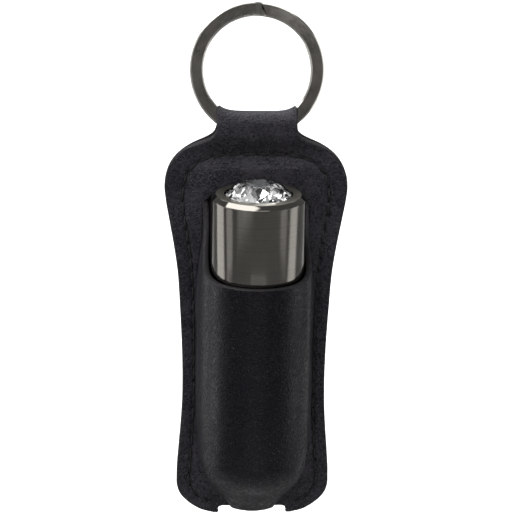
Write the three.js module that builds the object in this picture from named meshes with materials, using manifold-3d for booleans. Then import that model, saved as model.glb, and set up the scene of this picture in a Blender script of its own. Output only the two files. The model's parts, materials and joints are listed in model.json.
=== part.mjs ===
// A keychain flashlight: a short metal light in a sewn leather sheath that hangs from a split ring.
// Millimetres, +Z up, front of the sheath towards -Y. The origin is the inner top of the ring,
// where a hook, finger or belt clip carries it.
import * as THREE from "three";
import { mergeVertices } from "three/addons/utils/BufferGeometryUtils.js";
import Module from "manifold-3d";

const wasm = await Module();
wasm.setup();

// ---- driving dimensions ----
const RING_INNER_R = 10;
const RING_OUTER_R = 12.5;
const RING_COIL = 0.84; // thickness of one coil of the flat wire
const RING_PITCH = 0.94; // from one coil to the next
const RING_CROSSING = 46; // degrees over which the wire steps from one coil to the other
const RING_CROSSING_START = 28; // degrees above the right-hand side

const SHEATH_LEAN = 13; // degrees: it hangs with its centre of mass below the ring's wire
const LEATHER = 1.1;
const SEAM_GAP = 0.3; // between the front and back panels
const SPLIT_S = -2.6; // height, from the ring's wire, at which the strap turns into the two panels
const SPLIT_GAP = 0.2;
const STRAP_HALF = 7.3;
const STRAP_TOP = 3.9; // outer top of the loop at its middle
const STRAP_RISE = 2.1; // and how much higher the ring holds it at its two edges
const SHEATH_BOTTOM = -77.4;
const NOTCH_HALF = 6.4;
const NOTCH_TOP = -75.7;

const LIGHT_R = 8.6;
const LIGHT_LENGTH = 53;
const LIGHT_TILT = 2.5; // degrees: the head leans out of the window, the tail lies on the back panel
const FACE_S = -9.4; // height of the head's end face in the sheath
const FACE_W = 11.1; // and its distance in front of the seam
const LIP_S = -25.0; // height of the pocket's lip
const WINDOW_TOP = -10; // the window's upper edge lies behind the head

const HEAD_LENGTH = 20.5;
const HEAD_BORE_R = 7.3;
const BARREL_BORE_R = 6.45;
const NECK_R = 6.95;
const NECK_TOP = -14.8;
const TAIL_CAP_TOP = -47.5;
const CELL_R = 5.8; // LR44 button cell
const CELL_HEIGHT = 5.4;
const CELL_COUNT = 4;
const CELL_TOP = -16.3;
const JOINT_GAP = 0.3; // between the turned shells
const ROUND = 28; // sides of a turned piece

const DEG = Math.PI / 180;
const PANEL_W = (SEAM_GAP + LEATHER) / 2; // middle of a panel's thickness from the seam

// ---- materials ----
function metal(color, roughness = 0.25) {
  return new THREE.MeshStandardMaterial({ color, roughness, metalness: 1 });
}

function plain(color, roughness = 0.6) {
  return new THREE.MeshStandardMaterial({ color, roughness, metalness: 0 });
}

const GUNMETAL = 0x4b4843;
const HIDE = 0x1b1a20;
const RUBBER = 0x101010;
const STEEL = 0xb8b8b4;

function piece(parent, name, geometry, material) {
  const mesh = new THREE.Mesh(geometry, material);
  mesh.name = name;
  parent.add(mesh);
  return mesh;
}

// ---- ways of making a solid ----
function welded(geometry) {
  geometry.deleteAttribute("normal");
  geometry.deleteAttribute("uv");
  return mergeVertices(geometry, 1e-4);
}

function facingOut(geometry) {
  const merged = welded(geometry);
  const corner = [new THREE.Vector3(), new THREE.Vector3(), new THREE.Vector3()];
  const index = merged.index.array;
  let volume = 0;
  for (let i = 0; i < index.length; i += 3) {
    corner.forEach((v, k) => v.fromBufferAttribute(merged.attributes.position, index[i + k]));
    volume += corner[0].dot(corner[1].cross(corner[2]));
  }
  if (volume < 0) {
    for (let i = 0; i < index.length; i += 3) {
      [index[i], index[i + 1]] = [index[i + 1], index[i]];
    }
  }
  return merged;
}

function solidOf(geometry) {
  const vertProperties = new Float32Array(geometry.attributes.position.array);
  const triVerts = new Uint32Array(geometry.index.array);
  return new wasm.Manifold(new wasm.Mesh({ numProp: 3, vertProperties, triVerts }));
}

function geometryOf(solid) {
  const mesh = solid.getMesh();
  const geometry = new THREE.BufferGeometry();
  geometry.setAttribute("position", new THREE.BufferAttribute(new Float32Array(mesh.vertProperties), 3));
  geometry.setIndex(new THREE.BufferAttribute(new Uint32Array(mesh.triVerts), 1));
  return geometry;
}

// A body turned about +Z from [radius, height] points; a profile off the axis closes on itself.
function turned(points, sides = ROUND) {
  const profile = points.map(([r, z]) => new THREE.Vector2(r, z));
  if (points[0][0] > 0) profile.push(profile[0].clone());
  const geometry = new THREE.LatheGeometry(profile, sides);
  geometry.rotateX(Math.PI / 2);
  return facingOut(geometry);
}

// A closed skin over rings of points. The first and last ring are capped by strips that join
// point j to its opposite number, which suits a convex section and a folded sheet alike.
function skin(rings) {
  const sides = rings[0].length;
  const index = [];
  for (let i = 0; i + 1 < rings.length; i += 1) {
    for (let j = 0; j < sides; j += 1) {
      const k = (j + 1) % sides;
      const [a, b] = [i * sides, (i + 1) * sides];
      index.push(a + j, a + k, b + k, a + j, b + k, b + j);
    }
  }
  const last = (rings.length - 1) * sides;
  for (let j = 0; j + 1 < sides / 2; j += 1) {
    const m = sides - 1 - j;
    index.push(j, m, m - 1, j, m - 1, j + 1);
    index.push(last + j, last + m - 1, last + m, last + j, last + j + 1, last + m - 1);
  }
  const geometry = new THREE.BufferGeometry();
  const position = rings.flat().flatMap((v) => [v.x, v.y, v.z]);
  geometry.setAttribute("position", new THREE.Float32BufferAttribute(position, 3));
  geometry.setIndex(index);
  return facingOut(geometry);
}

// A sheet of even thickness about a grid of points, rows by columns.
function sheet(grid, thickness) {
  const at = (i, j) => {
    const row = grid[Math.min(Math.max(i, 0), grid.length - 1)];
    return row[Math.min(Math.max(j, 0), row.length - 1)];
  };
  const face = (sign) =>
    grid.map((row, i) =>
      row.map((point, j) => {
        const along = at(i + 1, j).clone().sub(at(i - 1, j));
        const across = at(i, j + 1).clone().sub(at(i, j - 1));
        const normal = along.cross(across).normalize();
        return point.clone().addScaledVector(normal, (sign * thickness) / 2);
      }),
    );
  const outer = face(1);
  const inner = face(-1);
  return skin(outer.map((row, i) => [...row, ...inner[i].reverse()]));
}

// A prism of an outline in the X-Z plane, from y0 to y1.
function prismY(points, y0, y1) {
  const shape = new THREE.Shape(points.map(([x, z]) => new THREE.Vector2(x, z)));
  const geometry = new THREE.ExtrudeGeometry(shape, { depth: y1 - y0, bevelEnabled: false });
  geometry.rotateX(Math.PI / 2);
  geometry.translate(0, y1, 0);
  return facingOut(geometry);
}

// A prism of an outline in the Y-Z plane, from x0 to x1.
function prismX(points, x0, x1) {
  const shape = new THREE.Shape(points.map(([y, z]) => new THREE.Vector2(y, z)));
  const geometry = new THREE.ExtrudeGeometry(shape, { depth: x1 - x0, bevelEnabled: false });
  geometry.rotateY(Math.PI / 2);
  geometry.rotateX(Math.PI / 2);
  geometry.translate(x0, 0, 0);
  return facingOut(geometry);
}

// A curve through a few [position, value] points, with the values held beyond its ends.
function through(points) {
  const curve = new THREE.SplineCurve(points.map(([s, value]) => new THREE.Vector2(s, value)));
  const samples = curve.getPoints(12 * points.length);
  return (s) => {
    const i = samples.findIndex((p) => p.x <= s);
    if (i === 0) return samples[0].y;
    if (i < 0) return samples[samples.length - 1].y;
    const t = (samples[i - 1].x - s) / (samples[i - 1].x - samples[i].x);
    return samples[i - 1].y + t * (samples[i].y - samples[i - 1].y);
  };
}

// ---- the split ring: two flat coils of one wire ----
function splitRing() {
  const mid = (RING_INNER_R + RING_OUTER_R) / 2;
  const half = (RING_OUTER_R - RING_INNER_R) / 2;
  const bevel = 0.2;
  const [h, t] = [half, RING_COIL / 2];
  const section = [
    [h - bevel, -t],
    [h, bevel - t],
    [h, t - bevel],
    [h - bevel, t],
    [bevel - h, t],
    [-h, t - bevel],
    [-h, bevel - t],
    [bevel - h, -t],
  ];
  const crossing = RING_CROSSING * DEG;
  const turns = 4 * Math.PI - crossing - 4 * DEG;
  const steps = 96;
  const rings = [];
  for (let i = 0; i <= steps; i += 1) {
    const swept = (turns * i) / steps;
    const angle = (RING_CROSSING_START + RING_CROSSING + 2) * DEG + swept;
    const into = (swept - (2 * Math.PI - crossing - 2 * DEG)) / crossing;
    const share = THREE.MathUtils.smoothstep(into, 0, 1);
    const y = RING_PITCH * (share - 0.5);
    rings.push(
      section.map(
        ([r, dy]) => new THREE.Vector3((mid + r) * Math.cos(angle), y + dy, (mid + r) * Math.sin(angle)),
      ),
    );
  }
  return skin(rings);
}

// ---- the sheath ----
// Its own frame: X to the right, Z up its length from the ring's wire, and -Y out of its front.
// "w" is the distance in front of the seam, so y is -w.

// Half the sheath's width at each height.
const halfWidth = through([
  [-2.6, 13.0],
  [-3.6, 14.2],
  [-5.7, 16.0],
  [-10.3, 17.2],
  [-17.3, 16.2],
  [-26.8, 14.8],
  [-48, 13.9],
  [-57, 14.2],
  [-64, 14.9],
  [-70, 15.2],
  [-73, 14.6],
  [-75, 13.2],
  [-76.5, 11.3],
  [-77.4, 9.0],
]);

// The moulded pocket: half its width, its crown's height above its springing, and the springing.
const TOE_S = FACE_S - LIGHT_LENGTH - 0.6; // the hide closes in below the light's tail
const POCKET_R = LIGHT_R + 0.35 + LEATHER / 2;
const axisW = (s) => FACE_W - (FACE_S - s) * Math.tan(LIGHT_TILT * DEG);
const pocketHalf = through([
  [TOE_S, POCKET_R],
  [TOE_S - 5, 8.2],
  [TOE_S - 9, 5.9],
  [NOTCH_TOP, 4.0],
]);
const pocketCrown = through([
  [TOE_S, POCKET_R],
  [TOE_S - 4, 7.8],
  [TOE_S - 8, 4.4],
  [NOTCH_TOP, 2.3],
]);
const pocketFoot = through([
  [TOE_S, axisW(TOE_S)],
  [TOE_S - 4, 5.6],
  [TOE_S - 8, 2.2],
  [NOTCH_TOP, 1.2],
]);

// One row of the front panel: flange, wall, crown, wall, flange.
function frontRow(s, raised) {
  const edge = halfWidth(s);
  const [r, crown] = s < TOE_S ? [pocketHalf(s), pocketCrown(s)] : [POCKET_R, POCKET_R];
  const foot = s < TOE_S ? pocketFoot(s) : axisW(s);
  const side = [
    [edge, PANEL_W],
    [(edge + r + 0.9) / 2, PANEL_W],
    [r + 0.8, PANEL_W],
    [r + 0.15, PANEL_W + 0.35],
    [r, PANEL_W + 0.3 * (foot - PANEL_W) + 0.3],
    [r, foot],
  ];
  for (let k = 1; k <= 6; k += 1) {
    const angle = (k * Math.PI) / 12;
    side.push([r * Math.cos(angle), foot + crown * Math.sin(angle)]);
  }
  const half = side.map(([x, w]) => [x, raised ? w : PANEL_W]);
  const row = [...half.map(([x, w]) => [-x, w]), ...half.slice(0, -1).reverse()];
  return row.map(([x, w]) => new THREE.Vector3(x, -w, s));
}

const FRONT_TOP_ROWS = [SPLIT_S - SPLIT_GAP / 2, -3.6, -4.8, -6.2, -8, WINDOW_TOP + 0.3];
const FRONT_POCKET_ROWS = [
  WINDOW_TOP, -11.5, -13.5, -17.5, -22, LIP_S, -30, -38, -48, -57, TOE_S,
  -65, -67, -69, -71, -72.6, -74, -75.1, -76, -76.8, SHEATH_BOTTOM,
];

// What the notch takes out of both panels' bottom edge.
function notch() {
  const corner = 1.0;
  return prismY(
    [
      [-NOTCH_HALF - 0.8, SHEATH_BOTTOM - 2],
      [-NOTCH_HALF, SHEATH_BOTTOM + corner],
      [-NOTCH_HALF + corner, NOTCH_TOP],
      [NOTCH_HALF - corner, NOTCH_TOP],
      [NOTCH_HALF, SHEATH_BOTTOM + corner],
      [NOTCH_HALF + 0.8, SHEATH_BOTTOM - 2],
    ],
    -LIGHT_R * 3,
    LIGHT_R,
  );
}

// What the window takes out of the front panel: all that stands higher than this side line.
function windowCut() {
  const beyond = -30;
  const edge = [
    [PANEL_W + 0.9, -6.6],
    [PANEL_W + 0.9, -13],
    [3.4, -18],
    [7.0, -21.6],
    [12, LIP_S + 1],
    [16, LIP_S + 0.1],
    [25, LIP_S],
  ];
  const points = edge.map(([w, s]) => [-w, s]);
  return prismX([...points, [beyond, LIP_S], [beyond, -6.6]], -LIGHT_R * 1.6, LIGHT_R * 1.6);
}

// The window's plan: the flat part of the panel that the head lies over is cut away too.
function windowFloorCut() {
  const half = LIGHT_R - 0.4;
  const top = WINDOW_TOP + 0.1;
  const corner = 2.5;
  return prismY(
    [
      [-half, LIP_S + 4],
      [half, LIP_S + 4],
      [half, top - corner],
      [half - corner, top],
      [corner - half, top],
      [-half, top - corner],
    ],
    -LIGHT_R * 3,
    -SEAM_GAP / 4,
  );
}

function frontPanel() {
  const rows = [
    ...FRONT_TOP_ROWS.map((s) => frontRow(s, false)),
    ...FRONT_POCKET_ROWS.map((s) => frontRow(s, true)),
  ];
  const whole = solidOf(sheet(rows, LEATHER));
  const open = whole.subtract(solidOf(windowCut())).subtract(solidOf(windowFloorCut()));
  return geometryOf(open.subtract(solidOf(notch())));
}

// The edge of a panel as an outline in the X-Z plane, from the split down and round.
function panelOutline() {
  const heights = [
    SPLIT_S - SPLIT_GAP / 2, -3.6, -4.6, -5.7, -8, -10.3, -13.5, -17.3, -22, -26.8, -36, -48,
    -57, -64, -70, -73, -75, -76.5, SHEATH_BOTTOM,
  ];
  const right = heights.map((s) => [halfWidth(s), s]);
  return [...right, ...right.map(([x, s]) => [-x, s]).reverse()];
}

function backPanel() {
  const whole = solidOf(prismY(panelOutline(), SEAM_GAP / 2, SEAM_GAP / 2 + LEATHER));
  return geometryOf(whole.subtract(solidOf(notch())));
}

// The strap that joins the panels over the ring's wire. It rides up on the ring at its two edges.
function loopStrap() {
  const bottom = SPLIT_S + SPLIT_GAP / 2;
  const across = [-1, -0.72, -0.36, 0, 0.36, 0.72, 1];
  const legs = [
    [bottom, PANEL_W, 12.9],
    [bottom + 0.25, PANEL_W, 12.5],
    [-1.9, 1.3, 11.7],
    [-1.2, 1.9, 9.4],
    [-0.3, 2.15, 8.2],
    [0.8, 2.2, 7.5],
  ];
  const archHalfDepth = 2.2;
  const back = (s) => Math.max(0, s) * Math.tan(SHEATH_LEAN * DEG); // the loop stays in line with the ring
  const row = (s, w, half, rise) =>
    across.map((x) => new THREE.Vector3(x * half, back(s + rise * x * x) - w, s + rise * x * x));
  const frontLeg = legs.map(([s, w, half]) => row(s, w, half, 0));
  const backLeg = legs.map(([s, w, half]) => row(s, -w, half, 0)).reverse();
  const top = [];
  const springing = STRAP_TOP - LEATHER / 2 - archHalfDepth;
  for (let k = 1; k < 8; k += 1) {
    const angle = (k * Math.PI) / 8;
    const rise = STRAP_RISE * Math.sin(angle);
    const s = springing + archHalfDepth * Math.sin(angle);
    top.push(row(s, archHalfDepth * Math.cos(angle), STRAP_HALF, rise));
  }
  return sheet([...frontLeg, ...top, ...backLeg], LEATHER * 0.85);
}

// The seam: one run of thread, inset from the edge, from one side of the notch to the other.
function seamThread() {
  const w = SEAM_GAP / 2 + LEATHER;
  const right = [
    [0, -4.3],
    [6.8, -4.6],
    [9.8, -5.6],
    [12.2, -7.0],
    [13.6, -9.6],
    [13.7, -15.0],
    [12.9, -20],
    [12.2, -26],
    [11.8, -34],
    [11.6, -48],
    [11.7, -57],
    [12.1, -64],
    [12.5, -70],
    [12.2, -72.6],
    [10.8, -74.3],
    [8.4, -75.0],
  ];
  const left = right.slice(1).map(([x, s]) => [-x, s]).reverse();
  const points = [...left, ...right].map(([x, s]) => new THREE.Vector2(x, s));
  const route = new THREE.SplineCurve(points);
  const steps = 90;
  const rings = [];
  for (let i = 0; i <= steps; i += 1) {
    const at = route.getPointAt(i / steps);
    const side = route.getTangentAt(i / steps).rotateAround(new THREE.Vector2(), Math.PI / 2);
    const ring = [
      [0.3, 0.05],
      [0.3, 0.3],
      [-0.3, 0.3],
      [-0.3, 0.05],
    ];
    rings.push(ring.map(([x, up]) => new THREE.Vector3(at.x + x * side.x, -(w + up), at.y + x * side.y)));
  }
  return skin(rings);
}

// ---- the light: its own frame has +Z out of the head, with its end face at 0 ----
function headShell() {
  const bottom = -HEAD_LENGTH;
  return turned([
    [6.2, 0],
    [LIGHT_R - 0.8, 0],
    [LIGHT_R, -0.8],
    [LIGHT_R, bottom + 0.4],
    [LIGHT_R - 0.4, bottom],
    [HEAD_BORE_R, bottom],
    [HEAD_BORE_R, -2.2],
    [5.3, -2.2],
    [5.3, -1.3],
    [6.2, -1.3],
  ]);
}

// A cut stone: table, crown, girdle and pavilion, in eight-sided rings turned by half a facet.
function crystal() {
  const rings = [
    [3.1, 2.0, 8, 0],
    [4.9, 1.1, 16, 0],
    [6.0, -0.1, 16, 0.5],
    [6.0, -0.4, 16, 0.5],
    [4.9, -1.15, 16, 0],
    [0.9, -3.5, 8, 0],
  ];
  const sides = 16;
  const points = rings.map(([r, z, facets, turn]) => {
    const ring = [];
    for (let j = 0; j < sides; j += 1) {
      const k = facets === sides ? j + turn : Math.floor(j / 2) * 2 + (j % 2);
      const a = ((k + 0.5) * 2 * Math.PI) / sides;
      ring.push(new THREE.Vector3(r * Math.cos(a), r * Math.sin(a), z));
    }
    return ring;
  });
  return skin(points);
}

function lensSeal() {
  return turned([
    [5.45, -1.25],
    [6.1, -1.25],
    [6.1, -1.0],
    [5.45, -1.0],
  ]);
}

function reflector() {
  return turned([
    [7.1, -2.4],
    [7.1, -9.5],
    [2.8, -9.5],
    [2.8, -8.9],
    [3.6, -7.2],
    [4.6, -5.0],
    [5.4, -2.4],
  ]);
}

function led() {
  return turned([
    [0, -4.3],
    [1.25, -4.6],
    [2.16, -5.5],
    [2.5, -6.8],
    [2.5, -11.7],
    [2.85, -11.7],
    [2.85, -12.7],
    [0, -12.7],
  ], 20);
}

function ledHolder() {
  return turned([
    [3.0, -9.7],
    [7.1, -9.7],
    [7.1, -13.0],
    [3.0, -13.0],
  ]);
}

const LEAD_X = 1.27;
const BOARD_TOP = -13.2;
const BOARD = 0.8;

function ledBoard() {
  const outline = new THREE.Shape().absarc(0, 0, 7.1, 0, 2 * Math.PI);
  for (const x of [-LEAD_X, LEAD_X]) {
    outline.holes.push(new THREE.Path().absarc(x, 0, 0.5, 0, 2 * Math.PI, true));
  }
  const options = { depth: BOARD, bevelEnabled: false, curveSegments: ROUND / 2 };
  const disc = new THREE.ExtrudeGeometry(outline, options);
  disc.translate(0, 0, BOARD_TOP - BOARD);
  return facingOut(disc);
}

function ledLead() {
  return facingOut(new THREE.BoxGeometry(0.5, 0.5, 1.7).translate(0, 0, -13.6));
}

function contactStud() {
  return turned([
    [0, -14.6],
    [2.4, -14.6],
    [2.4, -15.1],
    [1.2, -15.3],
    [1.2, -16.1],
    [0, -16.1],
  ], 20);
}

function barrel() {
  const shoulder = -HEAD_LENGTH - JOINT_GAP;
  const bottom = TAIL_CAP_TOP + JOINT_GAP;
  const groove = shoulder + 1.2;
  const profile = [
    [BARREL_BORE_R, NECK_TOP],
    [NECK_R - 0.2, NECK_TOP],
  ];
  for (let z = NECK_TOP - 0.5; z > groove + 1.4; z -= 1.0) {
    profile.push([NECK_R - 0.1, z], [NECK_R + 0.15, z - 0.5]);
  }
  profile.push(
    [NECK_R, groove + 0.5],
    [NECK_R - 0.3, groove + 0.5],
    [NECK_R - 0.3, groove - 0.5],
    [NECK_R, groove - 0.5],
    [NECK_R, shoulder],
    [LIGHT_R - 0.4, shoulder],
    [LIGHT_R, shoulder - 0.4],
    [LIGHT_R, bottom + 0.3],
    [LIGHT_R - 0.3, bottom],
    [BARREL_BORE_R, bottom],
  );
  return turned(profile);
}

function oRing(r, minor, z) {
  const section = [];
  for (let k = 0; k < 6; k += 1) {
    section.push([r + minor * Math.cos((k * Math.PI) / 3), z + minor * Math.sin((k * Math.PI) / 3)]);
  }
  return turned(section, 20);
}

function batterySleeve() {
  const bottom = CELL_TOP - CELL_COUNT * CELL_HEIGHT - 1.0;
  return turned([
    [CELL_R + 0.15, CELL_TOP + 0.3],
    [BARREL_BORE_R - 0.15, CELL_TOP + 0.3],
    [BARREL_BORE_R - 0.15, bottom],
    [CELL_R + 0.15, bottom],
  ]);
}

function buttonCell(top) {
  const bottom = top - CELL_HEIGHT + 0.1;
  return turned([
    [0, top],
    [CELL_R - 0.3, top],
    [CELL_R, top - 0.3],
    [CELL_R, bottom + 0.9],
    [CELL_R - 0.9, bottom + 0.6],
    [CELL_R - 0.9, bottom],
    [0, bottom],
  ], 20);
}

class Helix extends THREE.Curve {
  constructor(r, top, bottom, turns) {
    super();
    Object.assign(this, { r, top, bottom, turns });
  }

  getPoint(t, target = new THREE.Vector3()) {
    const a = 2 * Math.PI * this.turns * t;
    const z = THREE.MathUtils.lerp(this.bottom, this.top, t);
    return target.set(this.r * Math.cos(a), this.r * Math.sin(a), z);
  }
}

function tailSpring() {
  const wire = 0.3;
  const section = new THREE.Shape().absarc(0, 0, wire, 0, 2 * Math.PI);
  const top = CELL_TOP - CELL_COUNT * CELL_HEIGHT - 0.5;
  const extrudePath = new Helix(4.2, top, TAIL_CAP_TOP + 3.0, 4);
  const options = { steps: 48, curveSegments: 3, extrudePath };
  return facingOut(new THREE.ExtrudeGeometry(section, options));
}

function tailCap() {
  const plugTop = TAIL_CAP_TOP + 4.2;
  const plugR = BARREL_BORE_R - 0.25;
  const groove = TAIL_CAP_TOP + 1.4;
  return turned([
    [0, TAIL_CAP_TOP + 2.2],
    [5.2, TAIL_CAP_TOP + 2.2],
    [5.2, plugTop],
    [plugR, plugTop],
    [plugR, groove + 0.4],
    [plugR - 0.35, groove + 0.4],
    [plugR - 0.35, groove - 0.4],
    [plugR, groove - 0.4],
    [plugR, TAIL_CAP_TOP],
    [LIGHT_R - 0.3, TAIL_CAP_TOP],
    [LIGHT_R, TAIL_CAP_TOP - 0.3],
    [LIGHT_R, 1.0 - LIGHT_LENGTH],
    [LIGHT_R - 1.0, -LIGHT_LENGTH],
    [0, -LIGHT_LENGTH],
  ]);
}

// ---- assembly ----
const flashlight = new THREE.Group();

const ringGroup = new THREE.Group();
ringGroup.position.z = -RING_INNER_R;
piece(ringGroup, "split_ring", splitRing(), metal(0x39373a, 0.35));
flashlight.add(ringGroup);

const sheath = new THREE.Group();
sheath.position.z = -RING_INNER_R - (RING_INNER_R + RING_OUTER_R) / 2;
sheath.rotation.x = SHEATH_LEAN * DEG;
piece(sheath, "loop_strap", loopStrap(), plain(HIDE));
piece(sheath, "front_panel", frontPanel(), plain(HIDE));
piece(sheath, "back_panel", backPanel(), plain(HIDE));
piece(sheath, "seam_thread", seamThread(), plain(0x0c0c0e, 0.7));
flashlight.add(sheath);

const light = new THREE.Group();
light.position.set(0, -FACE_W, FACE_S);
light.rotation.x = LIGHT_TILT * DEG;
sheath.add(light);

piece(light, "head_shell", headShell(), metal(GUNMETAL, 0.15));
piece(light, "crystal_lens", crystal(), plain(0xf4f6f8, 0.05));
piece(light, "lens_seal", lensSeal(), plain(RUBBER));
piece(light, "reflector", reflector(), metal(0xd8d8d8, 0.1));
piece(light, "led", led(), plain(0xf0f0e8, 0.1));
piece(light, "led_holder", ledHolder(), plain(0xe6e6e2));
piece(light, "led_board", ledBoard(), plain(0x1f5a34));
for (const [name, x] of [["anode_lead", LEAD_X], ["cathode_lead", -LEAD_X]]) {
  piece(light, name, ledLead(), metal(STEEL)).position.x = x;
}
piece(light, "contact_stud", contactStud(), metal(0xb08d3c));

piece(light, "barrel", barrel(), metal(GUNMETAL, 0.2));
piece(light, "neck_o_ring", oRing(NECK_R - 0.3 + 0.32, 0.27, -HEAD_LENGTH - JOINT_GAP + 1.2), plain(RUBBER));
piece(light, "battery_sleeve", batterySleeve(), plain(0xd9d9d4));
for (let i = 0; i < CELL_COUNT; i += 1) {
  piece(light, `button_cell_${i + 1}`, buttonCell(CELL_TOP - i * CELL_HEIGHT), metal(STEEL));
}
piece(light, "tail_spring", tailSpring(), metal(STEEL));
piece(light, "tail_cap", tailCap(), metal(GUNMETAL, 0.2));
piece(light, "tail_o_ring", oRing(BARREL_BORE_R - 0.25 - 0.35 + 0.27, 0.22, TAIL_CAP_TOP + 1.4), plain(RUBBER));

export default flashlight;
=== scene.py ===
# A keychain flashlight: a short gunmetal light in a sewn black leather sheath, hung from a split ring.
# Built in the order it is put together: ring, hide, seam, light. Metres, +Z up, front towards -Y.
import json
import math

import bmesh
import bpy
import numpy as np
from mathutils import Matrix, Vector


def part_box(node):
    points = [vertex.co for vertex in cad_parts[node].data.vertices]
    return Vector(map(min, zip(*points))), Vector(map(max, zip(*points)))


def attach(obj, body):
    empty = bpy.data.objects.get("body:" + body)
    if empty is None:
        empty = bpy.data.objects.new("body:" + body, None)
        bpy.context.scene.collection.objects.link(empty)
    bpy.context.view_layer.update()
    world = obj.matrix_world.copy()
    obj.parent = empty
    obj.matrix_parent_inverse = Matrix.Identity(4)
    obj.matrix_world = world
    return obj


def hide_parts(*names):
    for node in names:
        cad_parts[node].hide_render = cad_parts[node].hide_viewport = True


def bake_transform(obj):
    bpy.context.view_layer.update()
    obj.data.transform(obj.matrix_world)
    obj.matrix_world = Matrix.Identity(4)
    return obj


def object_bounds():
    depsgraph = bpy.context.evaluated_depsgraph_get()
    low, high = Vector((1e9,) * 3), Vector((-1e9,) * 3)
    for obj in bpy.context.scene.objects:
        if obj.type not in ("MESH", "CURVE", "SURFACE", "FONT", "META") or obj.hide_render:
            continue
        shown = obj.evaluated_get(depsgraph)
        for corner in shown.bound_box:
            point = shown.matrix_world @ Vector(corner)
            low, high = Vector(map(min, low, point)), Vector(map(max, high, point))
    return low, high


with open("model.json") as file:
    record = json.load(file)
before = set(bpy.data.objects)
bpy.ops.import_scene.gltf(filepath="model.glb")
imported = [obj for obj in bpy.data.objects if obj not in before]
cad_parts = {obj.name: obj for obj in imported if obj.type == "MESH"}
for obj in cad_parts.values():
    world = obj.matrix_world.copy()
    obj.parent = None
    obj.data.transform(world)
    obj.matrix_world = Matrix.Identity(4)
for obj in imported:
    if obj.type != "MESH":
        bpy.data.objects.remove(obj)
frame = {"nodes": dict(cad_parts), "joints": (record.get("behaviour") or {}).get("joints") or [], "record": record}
cad_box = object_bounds()

MM = 0.001
scene = bpy.context.scene
joints = {j["name"]: j for j in frame["joints"]}
mounts = {m["name"]: m for m in frame["record"]["mounts"]}

# ---------------------------------------------------------------------------------------------
# Camera. It stands a quarter of a metre in front of the ring and a few degrees to its left,
# looking slightly down, and is rolled by a hair, as a hand-held close-up lens is.
# ---------------------------------------------------------------------------------------------
ring_low, ring_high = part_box("split_ring")
ring_centre = (ring_low + ring_high) / 2

CAMERA_DISTANCE = 0.2489
CAMERA_ELEVATION = math.radians(3.0)
CAMERA_AZIMUTH = math.radians(-2.5)
CAMERA_ROLL = math.radians(0.22)
AIM_BELOW_RING = 0.0346
AIM_ASIDE = -0.00006

aim = ring_centre + Vector((AIM_ASIDE, 0, -AIM_BELOW_RING))
lens = bpy.data.cameras.new("camera")
lens.lens = 93.5
lens.clip_start = 0.01
lens.clip_end = 20
camera = bpy.data.objects.new("camera", lens)
round_z = Matrix.Rotation(CAMERA_AZIMUTH, 4, "Z")
away = round_z @ Vector((0, -math.cos(CAMERA_ELEVATION), math.sin(CAMERA_ELEVATION)))
camera.location = aim + away * CAMERA_DISTANCE
turn = Matrix.Rotation(math.radians(90) - CAMERA_ELEVATION, 4, "X") @ Matrix.Rotation(CAMERA_ROLL, 4, "Z")
camera.matrix_world = Matrix.Translation(camera.location) @ round_z @ turn
scene.collection.objects.link(camera)
scene.camera = camera


# ---------------------------------------------------------------------------------------------
# The studio: a round, seamless bowl of paper that the object hangs in, white behind it and greyer
# on the camera's side, lit by soft boxes, one narrow strip and a panel turned to the back wall.
# ---------------------------------------------------------------------------------------------
class Socket:
    """An output socket of a shader node. Arithmetic on it adds Math nodes to the same tree."""

    def __init__(self, tree, out):
        self.tree = tree
        self.out = out

    def node(self, kind, settings=None, inputs=None, output=0):
        """Adds a node of any kind: settings by attribute name, inputs by socket name or number."""
        made = self.tree.nodes.new(kind)
        for name, value in (settings or {}).items():
            setattr(made, name, value)
        for key, value in (inputs or {}).items():
            if isinstance(key, str):
                slot = next(s for s in made.inputs if s.enabled and s.name == key)
            else:
                slot = made.inputs[key]
            if isinstance(value, Socket):
                self.tree.links.new(value.out, slot)
            elif isinstance(value, tuple) and slot.type == "RGBA":
                slot.default_value = (*value, 1.0)
            else:
                slot.default_value = value
        return Socket(self.tree, made.outputs[output] if made.outputs else None)

    def math(self, operation, *values):
        return self.node("ShaderNodeMath", {"operation": operation}, dict(enumerate(values)))

    def mix(self, low, high):
        """A colour between low and high by this value."""
        return self.node("ShaderNodeMix", {"data_type": "RGBA"}, {"Factor": self, "A": low, "B": high}, 2)

    def span(self, low, high, to_low=0.0, to_high=1.0):
        """This value's range low..high spread smoothly over to_low..to_high."""
        return self.node(
            "ShaderNodeMapRange", {"interpolation_type": "SMOOTHSTEP"},
            {"Value": self, 1: low, 2: high, 3: to_low, 4: to_high},
        )

    def noise(self, scale, detail=2.0, roughness=0.5):
        return self.node(
            "ShaderNodeTexNoise", {},
            {"Vector": self, "Scale": scale, "Detail": detail, "Roughness": roughness},
        )

    def bump(self, strength, depth):
        """This height as a bumped normal; depth is in metres."""
        return self.node("ShaderNodeBump", {}, {"Height": self, "Strength": strength, "Distance": depth})

    def __add__(self, other):
        return self.math("ADD", self, other)

    def __radd__(self, other):
        return self.math("ADD", other, self)

    def __sub__(self, other):
        return self.math("SUBTRACT", self, other)

    def __rsub__(self, other):
        return self.math("SUBTRACT", other, self)

    def __mul__(self, other):
        return self.math("MULTIPLY", self, other)

    def __rmul__(self, other):
        return self.math("MULTIPLY", other, self)


def object_place(name):
    """Starts a material and returns its object coordinates."""
    material = bpy.data.materials.new(name)
    material.use_nodes = True
    material.node_tree.nodes.clear()
    coordinates = material.node_tree.nodes.new("ShaderNodeTexCoord")
    return Socket(material.node_tree, coordinates.outputs["Object"])


def attribute(place, name, output):
    """A value stored on the mesh: output 1 is its vector and 2 its number."""
    return place.node("ShaderNodeAttribute", {"attribute_name": name}, {}, output)


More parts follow.
